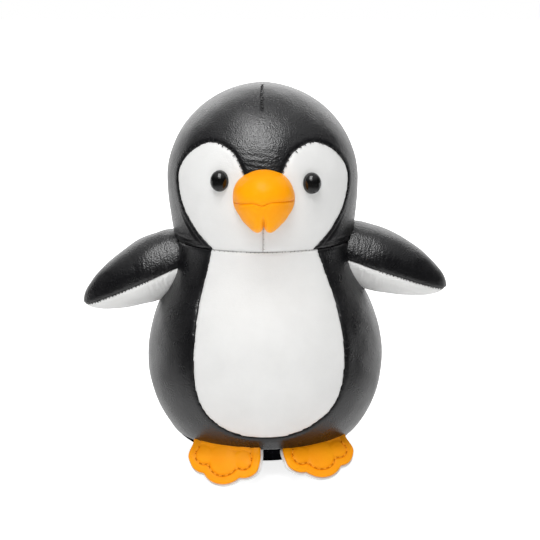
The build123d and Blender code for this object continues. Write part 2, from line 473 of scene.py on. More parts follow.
def add_piece(name, points, faces, body, look, stands_for=None):
    """A finished piece that rides on a body, if one is given; look is (slot, material), and only the material
    is used.
    """
    mesh = bpy.data.meshes.new(name)
    mesh.from_pydata([tuple(np.array(p) * MM) for p in points], [], faces)
    mesh.validate()
    mesh.shade_smooth()
    slot, material = look
    mesh.materials.append(material)
    obj = in_scene(name, mesh)
    if body:
        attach(obj, body)
    if stands_for:
        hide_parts(stands_for)
    return obj


def bmesh_piece(name, bm, body, look, stands_for):
    """A piece with the faces of bm, which is freed."""
    bm.verts.index_update()
    faces = [[v.index for v in f.verts] for f in bm.faces]
    obj = add_piece(name, [v.co[:] for v in bm.verts], faces, body, look, stands_for)
    bm.free()
    return obj


def turn_in(part):
    """Extend a panel with a seam allowance that turns in at its edge."""
    rim = [e for e in part.edges if len(e.link_faces) == 1]
    grown = bmesh.ops.extrude_edge_only(part, edges=rim)
    new = {v for v in grown["geom"] if isinstance(v, bmesh.types.BMVert)}
    for v in new:
        inner = [e.other_vert(v) for e in v.link_edges if e.other_vert(v) not in new]
        normal = inner[0].normal if inner else v.normal
        middle = Vector((0, 0, v.co.z))
        towards = (middle - v.co).normalized() if v.co.xy.length > CAP_RADIUS else Vector((0, 0, -1))
        v.co += (towards * FLANGE_TO_MIDDLE - normal * FLANGE_IN).normalized() * FLANGE


def add_skin(bm, number, name, body, look, allowance=False):
    """The leather piece of one numbered panel of bm."""
    part = bm.copy()
    layer = part.faces.layers.int[PANEL]
    others = [f for f in part.faces if f[layer] != number]
    bmesh.ops.delete(part, geom=others, context="FACES")
    part.normal_update()
    if allowance:
        turn_in(part)
    skin = bmesh_piece(name + "_skin", part, body, look, name)
    return skin


def bend(obj, body, start, end):
    """Bake the placement of a soft piece into its mesh; the body and the two points are not used."""
    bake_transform(obj)


# ---- materials

CLOUD_STOPS = (0.3, 0.7)
# depths of the relief, in metres
WRINKLE_DEPTH = 0.0004
PEBBLE_DEPTH = 0.00015
FINE_DEPTH = 0.00008
UNEVEN_DEPTH = 0.0001
FINE_SHARE = 0.8
# how much smoother and rougher leather is in its cleaner and rubbed places
CLEANER = 0.07
RUBBED = 0.09


def node(tree, kind, **values):
    """A shader node with its inputs or settings given by name."""
    made = tree.nodes.new("ShaderNode" + kind)
    for key, value in values.items():
        if key in made.inputs:
            made.inputs[key].default_value = value
        else:
            setattr(made, key, value)
    return made


def fed(tree, kind, *sources, **values):
    """A node whose first inputs are linked to sources, or set where a source is a plain value."""
    made = node(tree, kind, **values)
    for socket, source in zip(made.inputs, sources):
        if isinstance(source, bpy.types.NodeSocket):
            tree.links.new(source, socket)
        else:
            socket.default_value = source
    return made


def ramp(tree, source, stops):
    made = fed(tree, "ValToRGB", source)
    elements = made.color_ramp.elements
    while len(elements) < len(stops):
        elements.new(0.5)
    for element, (position, color) in zip(elements, stops):
        element.position = position
        element.color = (*color, 1)
    return made.outputs["Color"]


def spread(tree, source, to, given=(0.0, 1.0), kind="LINEAR"):
    """Map a value from one range to another."""
    made = fed(tree, "MapRange", source, interpolation_type=kind)
    for key, value in zip(("From Min", "From Max", "To Min", "To Max"), (*given, *to)):
        made.inputs[key].default_value = value
    return made.outputs["Result"]


def relief(tree, height, strength, distance, under=None):
    """A bump node on top of the normal of another."""
    made = node(tree, "Bump", Strength=strength, Distance=distance)
    tree.links.new(height, made.inputs["Height"])
    if under:
        tree.links.new(under, made.inputs["Normal"])
    return made.outputs["Normal"]


def clouded(name, dark, light, specular, **clouds):
    """A new material of clouded colour: (material, node tree, object coordinates, clouds)."""
    material = bpy.data.materials.new(name)
    material.use_nodes = True
    tree = material.node_tree
    shader = tree.nodes["Principled BSDF"]
    where = node(tree, "TexCoord").outputs["Object"]
    cloud = fed(tree, "TexNoise", where, **clouds).outputs["Fac"]
    tree.links.new(ramp(tree, cloud, list(zip(CLOUD_STOPS, (dark, light)))), shader.inputs["Base Color"])
    shader.inputs["Specular IOR Level"].default_value = specular
    return material, tree, where, cloud


def give_surface(tree, roughness, normal):
    shader = tree.nodes["Principled BSDF"]
    tree.links.new(roughness, shader.inputs["Roughness"])
    tree.links.new(normal, shader.inputs["Normal"])


def leather(name, dark, light, roughness, grain, crease, specular=0.5):
    """Smooth synthetic leather: fine pebble grain, faint creases, rubbed and cleaner places."""
    material, tree, where, _ = clouded(
        name, dark, light, specular, Scale=90.0, Detail=5.0, Roughness=0.6)
    rub = fed(tree, "TexNoise", where, Scale=160.0, Detail=6.0, Roughness=0.65).outputs["Fac"]
    pebble = fed(tree, "TexVoronoi", where, Scale=2200.0, feature="SMOOTH_F1").outputs["Distance"]
    fine = fed(tree, "TexNoise", where, Scale=1500.0, Detail=3.0).outputs["Fac"]
    wrinkle = fed(tree, "TexNoise", where, Scale=420.0, Detail=4.0, Distortion=0.6).outputs["Fac"]
    normal = relief(tree, wrinkle, crease, WRINKLE_DEPTH)
    normal = relief(tree, pebble, grain, PEBBLE_DEPTH, normal)
    normal = relief(tree, fine, grain * FINE_SHARE, FINE_DEPTH, normal)
    give_surface(tree, spread(tree, rub, (roughness - CLEANER, roughness + RUBBED)), normal)
    return material


def plain(name, dark, light, roughness, scale, bump, specular=0.5):
    """Moulded plastic or thread: slight colour change and a fine uneven surface."""
    material, tree, _, cloud = clouded(name, dark, light, specular, Scale=scale, Detail=4.0)
    give_surface(tree, spread(tree, cloud, (roughness * 0.8, roughness * 1.2)),
                 relief(tree, cloud, bump, UNEVEN_DEPTH))
    return material


# each look is (slot of the CAD model, material)
# the base panel: the black leather made darker and without reflections, as painted shade under the toy
SHADED_BASE_BLACK = ("black_leather", leather(
    "base_leather_painted_shade", (0.002, 0.002, 0.003), (0.004, 0.004, 0.005), 0.8, 1.0, 0.1, specular=0.0))
BLACK = ("black_leather", leather(
    "black_leather", (0.003, 0.003, 0.004), (0.006, 0.006, 0.007), 0.28, 0.8, 0.05, specular=0.68))
WHITE = ("white_leather", leather(
    "white_leather", (0.74, 0.74, 0.73), (0.78, 0.78, 0.77), 0.50, 0.22, 0.12))
ORANGE = ("orange_leather", leather(
    "orange_leather", (1.0, 0.345, 0.0), (1.0, 0.385, 0.0), 0.38, 0.2, 0.15, specular=0.13))
FOOT_ORANGE = ("orange_leather", leather(
    "foot_orange_leather", (1.0, 0.33, 0.0), (1.0, 0.37, 0.001), 0.5, 0.25, 0.2, specular=0.2))
EYE = ("eye_plastic", plain("eye_plastic", (0.003, 0.003, 0.003), (0.006, 0.006, 0.006), 0.09, 60.0, 0.02))
WASHER = plain("washer_plastic", (0.7, 0.7, 0.66), (0.78, 0.78, 0.74), 0.5, 300.0, 0.2)
FILLING = ("stuffing", plain("fibre_filling", (0.78, 0.77, 0.73), (0.9, 0.89, 0.86), 0.9, 900.0, 1.0))
BLACK_THREAD = ("black_leather", plain(
    "black_thread", (0.008, 0.008, 0.009), (0.02, 0.02, 0.02), 0.6, 4000.0, 0.6))
GREY_THREAD = ("white_leather", plain(
    "grey_thread", (0.25, 0.24, 0.22), (0.4, 0.39, 0.36), 0.7, 4000.0, 0.6))
ORANGE_THREAD = ("orange_thread", plain(
    "orange_thread", (0.95, 0.36, 0.01), (1.0, 0.44, 0.03), 0.8, 4000.0, 0.6, specular=0.2))
# dark orange marks at the needle holes of the feet: painted shade of the holes
HOLE_SHADE = ("orange_thread", plain(
    "needle_hole_shade", (0.62, 0.17, 0.002), (0.74, 0.22, 0.003), 0.9, 4000.0, 0.4, specular=0.1))

# ---- head and body

HEAD_CUTS = 52
BODY_CUTS = 60
BODY_PROFILE = body_profile()
SEAM_WIDTH = 1.9
SEAM_DEPTH = 0.8
NECK_SEAM_DEPTH = 0.5
NECK_SEAM_REACH = 3.0
DART_WIDTH = 0.9
DART_DEPTH = 0.7
CROWN_PEAK = 0.6    # the dart gathers the crown into a slight point
CROWN_PEAK_REACH = 9.0
HEAD_TRIM = 0.45    # the stuffed head is this much slimmer away from the neck
TRIM_REACH = 10.0
# (size, height) of the unevenness of the filling, and of the puckers beside a seam
LUMPS = (17.0, 0.35)
SMALL_LUMPS = (6.0, 0.10)
PUCKERS = (1.7, 0.10)
LUMPS_START = 5.0
PUCKER_REACH = 2.2
CREASES_START = 1.5
BASE_FRONT_LIFT = 2.6
# the cloth runs: pressure, shrinking, most swelling in millimetres, and rounds of evening out
HEAD_CLOTH = (3.0, 0.0, 0.12, 12)
BODY_CLOTH = (3.0, 0.0, 0.35, 12)
FLIPPER_CLOTH = (4.0, -0.01, 0.35, 3)
# (height, sideways set in millimetres) of the stuffed shape
LEAN_Z = [0, 12, 38, 70, 83, 96, 110, 140]
LEAN_X = [0.3, 0.5, 0.7, 0.4, 0.0, -0.2, -0.3, -0.3]
HEAD_PANELS = ["scrap", "head_front_panel", "face_panel_left", "face_panel_right",
               "head_back_panel_left", "head_back_panel_right"]
BODY_PANELS = ["scrap", "belly_panel", "body_front_panel", "body_back_panel_left",
               "body_back_panel_right", "base_panel"]
# the panels that aren't plain black; the base panel's darker black without reflections is painted shade
PANEL_LOOKS = {"face_panel_left": WHITE, "face_panel_right": WHITE, "belly_panel": WHITE,
               "base_panel": SHADED_BASE_BLACK}


def lean(z):
    """Sideways set of the stuffed shape: the head a little to one side, the body to the other."""
    return float(np.interp(z, LEAN_Z, LEAN_X))


def panel_chooser(part, patches):
    """A function that names the panel at each point of the head or the body."""
    def choose(points):
        inside = {name: field(points) < 0 for name, field in patches.items()}
        names = []
        for i, (x, y, z) in enumerate(points):
            found = [name for name in patches if inside[name][i]]
            if (z < NECK_Z) == (part == "head"):
                names.append("scrap")
            elif z < SEAM_Z:
                names.append("base_panel")
            elif y > SIDE_SEAM_Y:
                names.append(f"{part}_back_panel_" + ("left" if x > lean(z) else "right"))
            else:
                names.append(found[0] if found else f"{part}_front_panel")
        return names
    return choose


def drop_scrap(bm, layer):
    """Delete the faces that belong to no panel."""
    scrap = [f for f in bm.faces if f[layer] == 0]
    bmesh.ops.delete(bm, geom=scrap, context="FACES")
    bm.normal_update()


def finish_surface(bm, layer, dart=(), wrinkles=None, floor=False, neck=False, trim=0.0):
    """Roll the panels in at their seams, and add the soft unevenness of a stuffed toy."""
    seams = tree_of(seam_samples(bm, layer))
    darts = tree_of(dart)
    moves = []
    for v in bm.verts:
        p = v.co
        d = seams.find(p)[2]
        depth = SEAM_DEPTH
        normal = v.normal
        if neck:
            nearness = bell(p.z, NECK_Z, NECK_SEAM_REACH)
            depth += (NECK_SEAM_DEPTH - SEAM_DEPTH) * nearness
            level = Vector((p.x, p.y, 0)).normalized()
            normal = normal.lerp(level, nearness ** 2).normalized()
        drop = roll(d, SEAM_WIDTH, depth)
        if dart:
            drop = max(drop, roll(darts.find(p)[2], DART_WIDTH, DART_DEPTH))
        away = part_way(d, 0, LUMPS_START)
        lift = bumps(p, LUMPS) * away + bumps(p, SMALL_LUMPS) * away
        lift += bumps(p, PUCKERS) * math.exp(-d / PUCKER_REACH) - drop
        if wrinkles:
            lift += wrinkles(p, d) * part_way(d, 0, CREASES_START)
        if neck:
            lift -= trim * part_way(abs(p.z - NECK_Z), 0, TRIM_REACH)
            if p.z > HEAD_MIDDLE_Z:
                lift += CROWN_PEAK * math.exp(-math.hypot(p.x, p.y) / CROWN_PEAK_REACH)
        moves.append(normal * lift)
    for v, move in zip(bm.verts, moves):
        v.co += move
        if floor:
            v.co.z = max(v.co.z + base_lift(v.co), 0.0)
    bm.normal_update()


def base_lift(p):
    """The toy sits back a little, on the rear of its base and its toes."""
    return BASE_FRONT_LIFT * eased(part_way(-p.y, 1.0, 13.0)) * part_way(p.z, SEAM_Z, 0)


def cheek_seam_x(z):
    """Distance of the white panel's outer edge from the centre line, at a height."""
    outer = FACE_OUTLINE[5:]
    return float(np.interp(z, [h for _, h in outer][::-1], [x for x, _ in outer][::-1]))


CREASED_FRONT_Y = -8.0
# (middle, reach) of the fine level creases above the beak, sideways and in height
CREASES_X = (0.0, 9.0)
CREASES_Z = (114.5, 5.5)
CREASE_SPACING = 0.75
CREASE_SLANT = 0.12
CREASE_HEIGHT = 0.2
# (distance from the seam, width) of the line pressed in under the cheeks, and of the ridge beside it
CHEEK_LINE = (1.9, 0.3)
CHEEK_RIDGE = (2.6, 0.45)
CHEEK_RIDGE_SHARE = 0.6
CHEEK_DEPTH = 0.5
CHEEK_LINE_Z = (88.0, 6.0)
CHEEK_TOP_Z = 98.0


def head_creases(p, from_seam):
    """Fine level creases above the beak, and a pressed line beside the seam under the cheeks."""
    if p.y > CREASED_FRONT_Y:
        return 0.0
    strength = bell(p.x, *CREASES_X) * bell(p.z, *CREASES_Z)
    lines = noise.noise(Vector((p.x / CREASES_X[1], 3.0, p.z / CREASE_SPACING + CREASE_SLANT * p.x)))
    cheek = 0.0
    if abs(p.x) > cheek_seam_x(p.z) and p.z < CHEEK_TOP_Z:
        cheek = bell(from_seam, *CHEEK_LINE) - CHEEK_RIDGE_SHARE * bell(from_seam, *CHEEK_RIDGE)
        cheek *= bell(p.z, *CHEEK_LINE_Z)
    return CREASE_HEIGHT * strength * lines - CHEEK_DEPTH * cheek


# the crown's dart: how far it is off the centre line, and where it starts and ends
DART_X = -0.3
DART_START_Y = -6.0
DART_END_Y = -21.3


def dart_line():
    """Points along the crown's dart, from near the top towards the front."""
    points = []
    for y in np.linspace(DART_START_Y, DART_END_Y, 90):
        z = HEAD_MIDDLE_Z + math.sqrt(HEAD_RADIUS ** 2 - y * y)
        points.append(Vector((DART_X, y, z)))
    return points


def build_skins(part, profile, cuts, patches, panels, heights, cloth, **finish):
    """The panels of the head or the body, cut from one turned shape at the heights and patches."""
    bm = new_bmesh(*turned_ball(profile, cuts))
    for v in bm.verts:
        v.co.x += lean(v.co.z)
    for height in heights:
        cut_along(bm, below_field(height))
    cut_along(bm, side_field)
    for field in patches.values():
        cut_along(bm, field)
    layer = assign_panels(bm, panel_chooser(part, patches), panels)
    drop_scrap(bm, layer)
    inflate(bm, layer, f"{part}_cloth", *cloth)
    bm, layer = subdivide(bm)
    finish_surface(bm, layer, neck=True, **finish)
    for number, name in enumerate(panels[1:], 1):
        add_skin(bm, number, name, "torso", PANEL_LOOKS.get(name, BLACK), allowance=True)
    return bm


def build_head():
    patches = {f"face_panel_{side}": face_patch_field(sign) for side, sign in SIDES.items()}
    return build_skins("head", head_profile(), HEAD_CUTS, patches, HEAD_PANELS, [NECK_Z], HEAD_CLOTH,
                       dart=dart_line(), wrinkles=head_creases, trim=HEAD_TRIM)


def build_body():
    return build_skins("body", BODY_PROFILE, BODY_CUTS, {"belly_panel": belly_field()}, BODY_PANELS,
                       [NECK_Z, SEAM_Z], BODY_CLOTH, floor=True)


FILLING_INSET = 3.0
FILLING_LUMPS = (5.0, 0.9)
FILLING_CUTS = 30


def build_filling(name, profile, stands_for):
    """Lumpy fibre filling, a little inside the leather."""
    middle_z = (profile[:, 1].min() + profile[:, 1].max()) / 2
    points, faces = turned_ball(profile, FILLING_CUTS)
    lumps = []
    for p in points:
        out = Vector((p[0], p[1], p[2] - middle_z))
        shrink = (FILLING_INSET + bumps(Vector(p), FILLING_LUMPS)) / max(out.length, 1e-6)
        lumps.append(Vector(p) - out * shrink)
    add_piece(name, lumps, faces, "torso", FILLING, stands_for)


# ---- flippers

FLIPPER_LENGTH = 37.1
FLIPPER_PITCH = math.radians(18.0)
FLIPPER_CHORD_RATIO = 1.12
FLIPPER_DROOP = {"left": math.radians(21.5), "right": math.radians(26.5)}
# (half thickness, distance along) from inside the body to the tip
FLIPPER_OUTLINE = [
    (0.0, -9.5), (7.0, -9.0), (10.0, -4.0), (11.0, 1.0), (11.5, 6.0), (11.2, 11.0),
    (10.2, 17.0), (8.5, 24.0), (5.8, 30.5), (3.2, 34.5), (0.0, FLIPPER_LENGTH),
]
FLIPPER_BEND = 23.0    # length from the seam that is passed to bend(), which does not use it
FLIPPER_ROOT_DEPTH = 1.6
SEAM_AT_ROOT = 1.3
SEAM_AT_TIP = -0.6
SEAM_ARCH = 1.5
FLIPPER_PANELS = ["scrap", "top", "under"]
FLIPPER_CUTS = 26
CORE_CUTS = 14
# the filling of a flipper: thinner, shorter and set a little outwards
CORE_INSET = 1.8
CORE_SHORTER = 0.94
CORE_SHIFT = 0.5
# share of the flipper's length over which its seam stitches show
STITCHED_FROM = 0.25
STITCHED_TO = 0.97
NEAR_SEAM = 1.2
# (middle, reach) of the creases: over the top half, and along the flipper
GATHERS_TOP = (2.0, 5.0)
GATHERS_ROOT = (6.0, 8.0)
GATHERS_MIDDLE = (21.0, 2.5)
GATHER_SPACING = 0.85
GATHER_SLANT = 0.25
GATHER_HEIGHT = 0.3


def flipper_frame(side):
    """(hinge, along, top, front) of a flipper: a point and three unit vectors."""
    hinge = joint_place(f"flipper_{side}_flap")
    sign = SIDES[side]
    droop = FLIPPER_DROOP[side]
    along = np.array([sign * math.cos(droop), 0, -math.sin(droop)])
    up = np.array([sign * math.sin(droop), 0, math.cos(droop)])
    forward = np.array([0, -1.0, 0])
    top = math.cos(FLIPPER_PITCH) * up + math.sin(FLIPPER_PITCH) * forward
    front = math.cos(FLIPPER_PITCH) * forward - math.sin(FLIPPER_PITCH) * up
    return hinge, along, top, front


def flipper_wrinkles(p):
    """Short creases that run up from the seam, mostly where the flipper is gathered in."""
    gathered = bell(p.z, *GATHERS_ROOT) + 0.5 * bell(p.z, *GATHERS_MIDDLE)
    lines = noise.noise(Vector((p.x / 4, p.y / 6, p.z / GATHER_SPACING + GATHER_SLANT * p.x)))
    return GATHER_HEIGHT * bell(p.x, *GATHERS_TOP) * gathered * lines


def outside_radius(z):
    """Radius of the toy's smooth outside, head or body, at a height."""
    if z > HEAD_MIDDLE_Z:
        return math.sqrt(max(HEAD_RADIUS ** 2 - (z - HEAD_MIDDLE_Z) ** 2, 0))
    if z > NECK_Z:
        return jaw_radius(z)
    side = BODY_PROFILE[1:]
    return float(np.interp(z, side[::-1, 1], side[::-1, 0]))


def root_field(p):
    """Distance outside a surface a little inside the toy, where a flipper is sewn on."""
    limit = np.array([outside_radius(z) for z in p[:, 2]]) - FLIPPER_ROOT_DEPTH
    return np.hypot(p[:, 0], p[:, 1]) - limit


def flipper_ball(cuts, inset=0.0, shorter=1.0, shift=0.0):
    """The closed shape of a flipper in its own (top, front, along) directions."""
    profile = smooth_line(FLIPPER_OUTLINE, 8)
    profile[:, 0] = np.maximum(profile[:, 0] - inset, 0)
    profile[:, 1] = profile[:, 1] * shorter
    points, faces = turned_ball(profile[::-1], cuts)
    return points * (1.0, FLIPPER_CHORD_RATIO, 1.0) + (0, 0, shift), faces


def build_flipper(side):
    """Two panels sewn round a filling, with the stitches along the front of the seam."""
    hinge, along, top, front = flipper_frame(side)
    turn = np.array([top, front, along])
    mirrored = np.linalg.det(turn) < 0
    body = f"flipper_{side}"
    bend_end = hinge + along * FLIPPER_BEND
    points, faces = flipper_ball(FLIPPER_CUTS)
    bm = new_bmesh([hinge + p @ turn for p in points], faces)
    if mirrored:
        bmesh.ops.reverse_faces(bm, faces=list(bm.faces))
    bm.normal_update()
    cut_along(bm, root_field)

    def seam_field(p):
        rel = p - hinge
        share = np.clip(rel @ along / FLIPPER_LENGTH, -0.2, 1)
        arch = SEAM_ARCH * 4 * share * (1 - share)
        return rel @ top - (SEAM_AT_ROOT + (SEAM_AT_TIP - SEAM_AT_ROOT) * share + arch)

    def choose(p):
        outside = root_field(p) > 0
        upper = seam_field(p) > 0
        return ["scrap" if not o else "top" if u else "under" for o, u in zip(outside, upper)]

    def creases(p, _):
        return flipper_wrinkles(Vector(turn @ (np.array(p) - hinge)))

    cut_along(bm, seam_field)
    layer = assign_panels(bm, choose, FLIPPER_PANELS)
    drop_scrap(bm, layer)
    inflate(bm, layer, f"{body}_cloth", *FLIPPER_CLOTH)
    bm, layer = subdivide(bm)
    bm, layer = subdivide(bm)
    finish_surface(bm, layer, wrinkles=creases)
    seam = np.array(seam_samples(bm, layer))
    for number, key, look in ((1, "top", BLACK), (2, "under", WHITE)):
        skin = add_skin(bm, number, f"{body}_{key}_panel", None, look)
        bend(skin, body, hinge, bend_end)

    points, faces = flipper_ball(CORE_CUTS, CORE_INSET, CORE_SHORTER, CORE_SHIFT)
    if mirrored:
        faces = [f[::-1] for f in faces]
    name = f"{body}_stuffing"
    filling = add_piece(name + "_fill", [hinge + p @ turn for p in points], faces, None, FILLING, name)
    bend(filling, body, hinge, bend_end)

    share = (seam - hinge) @ along / FLIPPER_LENGTH
    on_front = ((seam - hinge) @ front > 0.5) & (np.abs(seam_field(seam)) < NEAR_SEAM)
    stitched = seam[on_front & (share > STITCHED_FROM) & (share < STITCHED_TO)]
    stitched = stitched[np.argsort((stitched - hinge) @ along)][::5]
    threads = stitches_across(f"{body}_seam_stitches", stitched, bm, None, BLACK_THREAD,
                              pitch=1.35, length=1.0, radius=0.15, seed=17 + SIDES[side])
    bend(threads, body, hinge, bend_end)


# ---- feet

# (across, reach, radius) of the round toes
MIDDLE_TOE = (0.0, 4.6, 8.6)
SIDE_TOE = (7.4, 3.6, 6.3)
NOTCH_SHARPNESS = 6.0
FOOT_ROOT_HALF_WIDTH = 13.2
FOOT_BEHIND_SEAM = 2.2
PALM_LENGTH = 12.0
FOOT_PLY = 1.3
PLY_EDGE = 0.7
FOOT_SOLE_MARGIN = 0.5
FOOT_SLOPE = {"left": math.radians(44.0), "right": math.radians(57.0)}
ROOT_SPREAD = 1.6    # the seam drags the root outwards
ROOT_SPREAD_REACH = 7.0
ROOT_PULL = 0.4    # the root also follows the round seam backwards
ROOT_PULL_REACH = 5.0
FOOT_BEND = (-0.3, 4.0)    # from, to: out from its hinge, passed to bend(), which does not use them
WAVE_HEIGHT = 0.35
WAVE_LENGTH = 5.0
FOOT_SHIFT = {"left": (-0.7, 0.0, 0.2), "right": (0.7, 0.0, -0.2)}    # as the filling has pushed them
FOOT_FACING = {"left": math.radians(27.0), "right": math.radians(-22.0)}
FOOT_WAVE = {"left": 0.0, "right": 2.0}
FOOT_MIDDLE = np.array([0.0, 5.0])
FOOT_SPOKES = 220
FOOT_RINGS = 40
RING_SPACING = 1.6    # above 1 the rings lie closer together towards the outline
MERGE_DISTANCE = 0.01
FOOT_SWELL = 0.15    # the top ply swells this far inside its stitches
SWELL_INSET = (2.6, 6.6)    # distances from the outline at which it starts and is full
FOOT_GRAIN_SIZE = 2.5
FOOT_GRAIN = 0.05
STITCH_INSET = 2.9
STITCH_PITCH = 2.2
STITCH_DIMPLE = 0.3
STITCH_VALLEY = 0.55
STITCHES_START = 1.2    # distance of the first stitch from the base seam


def toe_distance(u, w):
    """Signed distance to the outline of three round toes and an open-ended palm, with soft notches."""
    toes = [math.hypot(u, w - MIDDLE_TOE[1]) - MIDDLE_TOE[2]]
    for sign in SIDES.values():
        toes.append(math.hypot(u - sign * SIDE_TOE[0], w - SIDE_TOE[1]) - SIDE_TOE[2])
    toes.append(max(abs(u) - FOOT_ROOT_HALF_WIDTH, w - SIDE_TOE[1], -PALM_LENGTH - w))
    return -math.log(sum(math.exp(-NOTCH_SHARPNESS * t) for t in toes)) / NOTCH_SHARPNESS


def foot_distance(u, w, margin=0.0):
    """Signed distance to the outline of a foot, which ends inside the base seam."""
    return max(toe_distance(u, w), -FOOT_BEHIND_SEAM - w) - margin


def foot_point(angle, reach):
    """(across, towards the toes) of the point at an angle and reach from the foot's middle."""
    return FOOT_MIDDLE[0] + reach * math.cos(angle), FOOT_MIDDLE[1] + reach * math.sin(angle)


def foot_reach(angle, inset, distance=foot_distance):
    """How far the outline, moved in by inset, lies from the foot's middle at an angle."""
    low, high = 0.0, 30.0
    for _ in range(40):
        middle = (low + high) / 2
        if distance(*foot_point(angle, middle)) < -inset:
            low = middle
        else:
            high = middle
    return low


def foot_frame(side):
    """(hinge, across, outwards, upper, toes) of a foot: a point and unit vectors."""
    hinge = joint_place(f"foot_{side}_flex")
    facing, slope = FOOT_FACING[side], FOOT_SLOPE[side]
    across = np.array([math.cos(facing), math.sin(facing), 0])
    outwards = np.array([math.sin(facing), -math.cos(facing), 0])
    upper = outwards * math.sin(slope) + (0, 0, math.cos(slope))
    toes = np.cross(across, upper)
    return hinge, across, outwards, upper, toes if toes[2] < 0 else -toes


def foot_placer(side):
    """A function from the foot's own (across, towards toes, up) to the frame."""
    hinge, across, outwards, upper, toes = foot_frame(side)

    def place(u, w, h):
        u = u + SIDES[side] * ROOT_SPREAD * part_way(w, ROOT_SPREAD_REACH, 0)
        p = hinge + across * u + toes * w + upper * h + FOOT_SHIFT[side]
        pull = eased(part_way(w, ROOT_PULL_REACH, 0))
        p = p - outwards * pull * (u * u / (2 * BASE_RADIUS) + ROOT_PULL)
        p[2] = max(p[2], 0.0)
        return p
    return place


def foot_lift(u, w, side):
    """Slight waves of the flat leather."""
    return WAVE_HEIGHT * math.sin(u / WAVE_LENGTH + FOOT_WAVE[side]) * part_way(w, 0, 10)


def build_ply(side, part, low, margin, look, dimple):
    """One ply of a foot: a thin sheet with rounded edges, pressed in along the stitches."""
    place = foot_placer(side)
    high = low + FOOT_PLY
    mid = (low + high) / 2
    swell = FOOT_SWELL if dimple else 0
    top, bottom = [], []
    angles = np.linspace(0, 2 * math.pi, FOOT_SPOKES, endpoint=False)
    reach = [foot_reach(a, -margin) for a in angles]
    for share in 1 - (1 - np.linspace(0, 1, FOOT_RINGS + 1)[1:]) ** RING_SPACING:
        for a, r in zip(angles, reach):
            u, w = foot_point(a, share * r)
            edge = part_way(-foot_distance(u, w, margin), 0, PLY_EDGE)
            round_off = 1 - math.sqrt(max(1 - (1 - edge) ** 2, 0))
            from_toes = margin - toe_distance(u, w)
            lift = foot_lift(u, w, side)
            shaped = swell * part_way(from_toes, *SWELL_INSET)
            shaped -= dimple * bell(from_toes, STITCH_INSET + margin, STITCH_VALLEY)
            shaped += FOOT_GRAIN * noise.noise(Vector((u / FOOT_GRAIN_SIZE, w / FOOT_GRAIN_SIZE, low)))
            top.append(place(u, w, high - (high - mid) * round_off + lift + shaped))
            bottom.append(place(u, w, low + (mid - low) * round_off + lift))
    lift = foot_lift(*FOOT_MIDDLE, side)
    count = len(top)
    points = top + bottom + [place(*FOOT_MIDDLE, high + lift + swell), place(*FOOT_MIDDLE, low + lift)]
    faces = bands(FOOT_RINGS, FOOT_SPOKES, turned=True)
    faces += [[count + i for i in quad] for quad in bands(FOOT_RINGS, FOOT_SPOKES)]
    last = count - FOOT_SPOKES
    for s in range(FOOT_SPOKES):
        n = (s + 1) % FOOT_SPOKES
        faces.append([2 * count, s, n])
        faces.append([2 * count + 1, count + n, count + s])
        faces.append([last + s, count + last + s, count + last + n, last + n])
    bm = new_bmesh(points, faces)
    bmesh.ops.recalc_face_normals(bm, faces=list(bm.faces))
    bmesh.ops.remove_doubles(bm, verts=list(bm.verts), dist=MERGE_DISTANCE)
    name = f"foot_{side}_{part}"
    bend_foot(bmesh_piece(name + "_ply", bm, None, look, name), side)


def bend_foot(obj, side):
    hinge, *_, toes = foot_frame(side)
    bend(obj, f"foot_{side}", hinge + toes * FOOT_BEND[0], hinge + toes * FOOT_BEND[1])


def capsule(start, end, up, radius, arch, steps=6, around=8):
    """A short arched thread as (points, faces)."""
    start, end, up = map(np.array, (start, end, up))
    along = end - start
    length = np.linalg.norm(along)
    along = along / max(length, 1e-9)
    side = np.cross(up, along)
    side = side / max(np.linalg.norm(side), 1e-9)
    rise = np.cross(along, side)
    points = [start.copy()]
    for i in range(1, steps):
        t = i / steps
        middle = start + along * length * t + rise * arch * math.sin(math.pi * t)
        thick = radius * math.sqrt(max(1 - (2 * t - 1) ** 4, 0))
        for j in range(around):
            a = 2 * math.pi * j / around
            points.append(middle + thick * (math.cos(a) * side + math.sin(a) * rise))
    points.append(end.copy())
    last = 1 + (steps - 2) * around
    faces = [[i + 1 for i in quad] for quad in bands(steps - 1, around)]
    for j in range(around):
        n = (j + 1) % around
        faces.append([0, 1 + n, 1 + j])
        faces.append([len(points) - 1, last + j, last + n])
    return points, faces


def merged(parts):
    """Several (points, faces) as one."""
    points, faces = [], []
    for p, f in parts:
        faces.extend([[i + len(points) for i in face] for face in f])
        points.extend(p)
    return points, faces


def lengths_along(line):
    """Distance from the start of a line to each of its points."""
    return np.r_[0, np.cumsum(np.linalg.norm(np.diff(line, axis=0), axis=1))]


THREAD_LIFT = 0.38    # the middle of a thread lies this far over the sunken seam
THREAD_ARCH = 0.12
THREAD_SLANT = 0.25
LENGTH_RANGE = (0.8, 1.15)
PITCH_RANGE = (0.85, 1.15)
LOOK_AHEAD = 0.4


def stitches_across(name, line, bm, body, look, pitch=2.1, length=1.3, radius=0.17, seed=1):
    """Small threads that cross a seam, sunk where the panels turn in."""
    draw = np.random.default_rng(seed)
    tree = tree_of([v.co for v in bm.verts])
    bm.verts.ensure_lookup_table()
    line = np.array(line)
    steps = lengths_along(line)
    threads = []
    at = pitch / 2
    while at < steps[-1]:
        here, ahead = (np.array([np.interp(s, steps, line[:, k]) for k in range(3)])
                       for s in (at, at + LOOK_AHEAD))
        vert = bm.verts[tree.find(here)[1]]
        normal = np.array(vert.normal)
        along = ahead - here
        across = np.cross(normal, along)
        across /= max(np.linalg.norm(across), 1e-9)
        across += THREAD_SLANT * draw.uniform(-1, 1) * along / max(np.linalg.norm(along), 1e-9)
        half = 0.5 * length * draw.uniform(*LENGTH_RANGE)
        middle = np.array(vert.co) + normal * THREAD_LIFT
        threads.append(capsule(middle - across * half, middle + across * half, normal, radius, THREAD_ARCH))
        at += pitch * draw.uniform(*PITCH_RANGE)
    return add_piece(name, *merged(threads), body, look)


